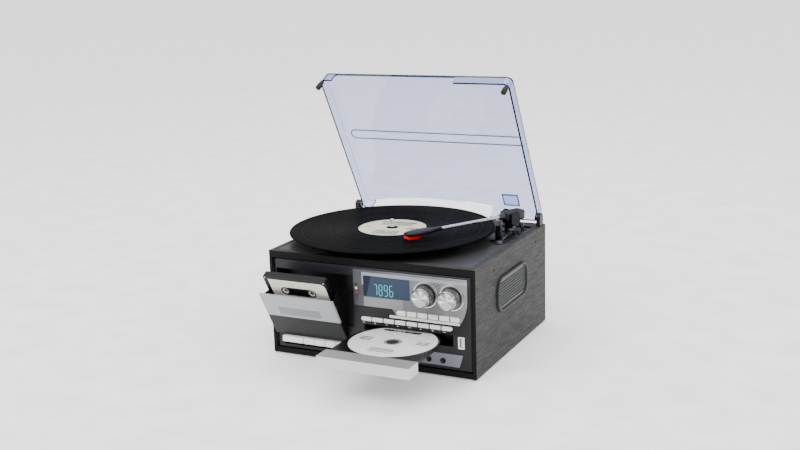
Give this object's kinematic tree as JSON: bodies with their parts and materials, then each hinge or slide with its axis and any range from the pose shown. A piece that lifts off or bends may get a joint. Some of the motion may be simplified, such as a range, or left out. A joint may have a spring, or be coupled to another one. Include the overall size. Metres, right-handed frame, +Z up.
{
  "type": "record player",
  "caption": "Tabletop record player in a wooden box, with tonearm, tinted lid, cassette door, CD tray, radio panel with knobs and buttons, and side speakers.",
  "frame": {"origin": "middle of the footprint of the box on the surface it stands on", "axes": "+X to the right seen from the front, +Y to the back, +Z up"},
  "size_m": [0.3364, 0.4244, 0.3885],
  "materials": {
    "side_wood": "satin dark grey woodgrain",
    "top_wood": "satin near black",
    "hidden_board": "matte",
    "back_board": "matte",
    "deck_black": "satin",
    "front_charcoal": "satin",
    "silver_panel": "satin silver",
    "screen": "glossy",
    "inner_black": "matte",
    "grille_black": "satin",
    "driver_steel": "satin",
    "rubber_black": "matte",
    "arm_black": "satin",
    "chrome": "polished",
    "platter_black": "satin",
    "record_black": "grooved gloss",
    "cartridge_red": "glossy",
    "lever_black": "satin",
    "lid_tint": "clear blue tint",
    "window_smoke": "smoked clear",
    "cassette_black": "satin",
    "button_silver": "satin silver",
    "tray_black": "satin",
    "tray_silver": "satin silver",
    "disc_white": "glossy"
  },
  "bodies": {
    "cabinet": {"side_panels": "side_wood", "bottom_panel": "hidden_board", "back_panel": "back_board", "top_board": "top_wood", "deck_plate": "deck_black", "fascia": "front_charcoal", "cassette_well": "inner_black", "display_panel": "silver_panel", "lcd_screen": "screen", "front_sockets": "silver_panel", "speaker_grilles": "grille_black", "speaker_drivers": "driver_steel", "rubber_feet": "rubber_black", "hinge_posts": "arm_black", "turntable_motor": "driver_steel", "center_spindle": "chrome", "tonearm_base": "arm_black", "cd_drive": "inner_black", "main_board": "inner_black", "drive_belt": "rubber_black"},
    "platter": {"platter": "platter_black", "record": "record_black"},
    "pulley": {"motor_pulley": "chrome"},
    "yoke": {"tonearm_yoke": "arm_black"},
    "arm": {"tonearm_tube": "arm_black", "headshell": "arm_black", "cartridge": "cartridge_red"},
    "cue": {"cue_lever": "lever_black"},
    "speed_switch": {"speed_switch": "chrome"},
    "auto_stop_switch": {"auto_stop_switch": "chrome"},
    "lid": {"lid": "lid_tint", "lid_bumpers": "rubber_black"},
    "door": {"cassette_door": "front_charcoal", "door_window": "window_smoke"},
    "cassette": {"cassette": "cassette_black", "cassette_lifter": "cassette_black"},
    "volume_knob": {"volume_knob": "chrome"},
    "tuning_knob": {"tuning_knob": "chrome"},
    "tray": {"cd_tray": "tray_black", "tray_front": "tray_silver", "compact_disc": "disc_white"},
    "key_1": {"piano_key_1": "button_silver"},
    "key_2": {"piano_key_2": "button_silver"},
    "key_3": {"piano_key_3": "button_silver"},
    "key_4": {"piano_key_4": "button_silver"},
    "key_5": {"piano_key_5": "button_silver"},
    "top_button_1": {"top_button_1": "button_silver"},
    "top_button_2": {"top_button_2": "button_silver"},
    "top_button_3": {"top_button_3": "button_silver"},
    "top_button_4": {"top_button_4": "button_silver"},
    "top_button_5": {"top_button_5": "button_silver"},
    "top_button_6": {"top_button_6": "button_silver"},
    "low_button_1": {"low_button_1": "button_silver"},
    "low_button_2": {"low_button_2": "button_silver"},
    "low_button_3": {"low_button_3": "button_silver"},
    "low_button_4": {"low_button_4": "button_silver"},
    "low_button_5": {"low_button_5": "button_silver"},
    "low_button_6": {"low_button_6": "button_silver"},
    "low_button_7": {"low_button_7": "button_silver"},
    "low_button_8": {"low_button_8": "button_silver"}
  },
  "joints": [
    {"name": "platter_spin", "type": "hinge", "parent": "cabinet", "child": "platter", "pos_m": [-0.025, -0.0115, 0.16], "axis": [0, 0, 1], "continuous": true},
    {"name": "pulley_spin", "type": "hinge", "parent": "cabinet", "child": "pulley", "pos_m": [-0.09428, 0.0285, 0.15], "axis": [0, 0, 1], "continuous": true},
    {"name": "tonearm_swing", "type": "hinge", "parent": "cabinet", "child": "yoke", "pos_m": [0.124, 0.084, 0.165], "axis": [0, 0, 1], "range_deg": [-9, 32.5]},
    {"name": "tonearm_lift", "type": "hinge", "parent": "yoke", "child": "arm", "pos_m": [0.124, 0.084, 0.177], "axis": [-0.8616, 0.5075, 0], "range_deg": [0, 2]},
    {"name": "cue_lever", "type": "hinge", "parent": "cabinet", "child": "cue", "pos_m": [0.13775, 0.056, 0.161], "axis": [-1, 0, 0], "range_deg": [0, 25]},
    {"name": "speed_switch", "type": "hinge", "parent": "cabinet", "child": "speed_switch", "pos_m": [0.139, 0.073, 0.1435], "axis": [0, 1, 0], "range_deg": [0, 36]},
    {"name": "auto_stop_switch", "type": "hinge", "parent": "cabinet", "child": "auto_stop_switch", "pos_m": [0.14, 0.1, 0.1435], "axis": [0, 1, 0], "range_deg": [0, 36]},
    {"name": "lid_hinge", "type": "hinge", "parent": "cabinet", "child": "lid", "pos_m": [0, 0.126, 0.1666], "axis": [-1, 0, 0], "range_deg": [-60.8, 4.2]},
    {"name": "cassette_door", "type": "hinge", "parent": "cabinet", "child": "door", "pos_m": [-0.09225, -0.1365, 0.0345], "axis": [1, 0, 0], "range_deg": [-30, 0]},
    {"name": "cassette_lift", "type": "slide", "parent": "door", "child": "cassette", "axis": [0, -0.5, 0.866], "range_m": [-0.0202, 0]},
    {"name": "volume_turn", "type": "hinge", "parent": "cabinet", "child": "volume_knob", "pos_m": [0.087, -0.139, 0.1135], "axis": [0, -1, 0], "range_deg": [-145, 145]},
    {"name": "tuning_turn", "type": "hinge", "parent": "cabinet", "child": "tuning_knob", "pos_m": [0.1255, -0.139, 0.1135], "axis": [0, -1, 0], "continuous": true},
    {"name": "cd_tray_slide", "type": "slide", "parent": "cabinet", "child": "tray", "axis": [0, 1, 0], "range_m": [0, 0.1345]},
    {"name": "piano_key_1", "type": "hinge", "parent": "cabinet", "child": "key_1", "pos_m": [-0.12275, -0.102, 0.026], "axis": [1, 0, 0], "range_deg": [0, 7.8], "stiffness_Nm_per_rad": 0.5, "springref_deg": -3.44},
    {"name": "piano_key_2", "type": "hinge", "parent": "cabinet", "child": "key_2", "pos_m": [-0.0963, -0.102, 0.026], "axis": [1, 0, 0], "range_deg": [0, 7.8], "stiffness_Nm_per_rad": 0.5, "springref_deg": -3.44},
    {"name": "piano_key_3", "type": "hinge", "parent": "cabinet", "child": "key_3", "pos_m": [-0.0786, -0.102, 0.026], "axis": [1, 0, 0], "range_deg": [0, 7.8], "stiffness_Nm_per_rad": 0.5, "springref_deg": -3.44},
    {"name": "piano_key_4", "type": "hinge", "parent": "cabinet", "child": "key_4", "pos_m": [-0.0609, -0.102, 0.026], "axis": [1, 0, 0], "range_deg": [0, 7.8], "stiffness_Nm_per_rad": 0.5, "springref_deg": -3.44},
    {"name": "piano_key_5", "type": "hinge", "parent": "cabinet", "child": "key_5", "pos_m": [-0.0432, -0.102, 0.026], "axis": [1, 0, 0], "range_deg": [0, 7.8], "stiffness_Nm_per_rad": 0.5, "springref_deg": -3.44},
    {"name": "top_button_1", "type": "slide", "parent": "cabinet", "child": "top_button_1", "axis": [0, 1, 0], "range_m": [0, 0.0012], "stiffness_N_per_m": 300, "springref_m": -0.0005},
    {"name": "top_button_2", "type": "slide", "parent": "cabinet", "child": "top_button_2", "axis": [0, 1, 0], "range_m": [0, 0.0012], "stiffness_N_per_m": 300, "springref_m": -0.0005},
    {"name": "top_button_3", "type": "slide", "parent": "cabinet", "child": "top_button_3", "axis": [0, 1, 0], "range_m": [0, 0.0012], "stiffness_N_per_m": 300, "springref_m": -0.0005},
    {"name": "top_button_4", "type": "slide", "parent": "cabinet", "child": "top_button_4", "axis": [0, 1, 0], "range_m": [0, 0.0012], "stiffness_N_per_m": 300, "springref_m": -0.0005},
    {"name": "top_button_5", "type": "slide", "parent": "cabinet", "child": "top_button_5", "axis": [0, 1, 0], "range_m": [0, 0.0012], "stiffness_N_per_m": 300, "springref_m": -0.0005},
    {"name": "top_button_6", "type": "slide", "parent": "cabinet", "child": "top_button_6", "axis": [0, 1, 0], "range_m": [0, 0.0012], "stiffness_N_per_m": 300, "springref_m": -0.0005},
    {"name": "low_button_1", "type": "slide", "parent": "cabinet", "child": "low_button_1", "axis": [0, 1, 0], "range_m": [0, 0.0012], "stiffness_N_per_m": 300, "springref_m": -0.0005},
    {"name": "low_button_2", "type": "slide", "parent": "cabinet", "child": "low_button_2", "axis": [0, 1, 0], "range_m": [0, 0.0012], "stiffness_N_per_m": 300, "springref_m": -0.0005},
    {"name": "low_button_3", "type": "slide", "parent": "cabinet", "child": "low_button_3", "axis": [0, 1, 0], "range_m": [0, 0.0012], "stiffness_N_per_m": 300, "springref_m": -0.0005},
    {"name": "low_button_4", "type": "slide", "parent": "cabinet", "child": "low_button_4", "axis": [0, 1, 0], "range_m": [0, 0.0012], "stiffness_N_per_m": 300, "springref_m": -0.0005},
    {"name": "low_button_5", "type": "slide", "parent": "cabinet", "child": "low_button_5", "axis": [0, 1, 0], "range_m": [0, 0.0012], "stiffness_N_per_m": 300, "springref_m": -0.0005},
    {"name": "low_button_6", "type": "slide", "parent": "cabinet", "child": "low_button_6", "axis": [0, 1, 0], "range_m": [0, 0.0012], "stiffness_N_per_m": 300, "springref_m": -0.0005},
    {"name": "low_button_7", "type": "slide", "parent": "cabinet", "child": "low_button_7", "axis": [0, 1, 0], "range_m": [0, 0.0012], "stiffness_N_per_m": 300, "springref_m": -0.0005},
    {"name": "low_button_8", "type": "slide", "parent": "cabinet", "child": "low_button_8", "axis": [0, 1, 0], "range_m": [0, 0.0012], "stiffness_N_per_m": 300, "springref_m": -0.0005}
  ],
  "couplings": [
    {"joint": "pulley_spin", "follows": "platter_spin", "ratio": 9.8496},
    {"joint": "cue_lever", "follows": "tonearm_lift", "ratio": 12.5},
    {"joint": "cassette_door", "follows": "cassette_lift", "rad_per_m": 25.921}
  ]
}
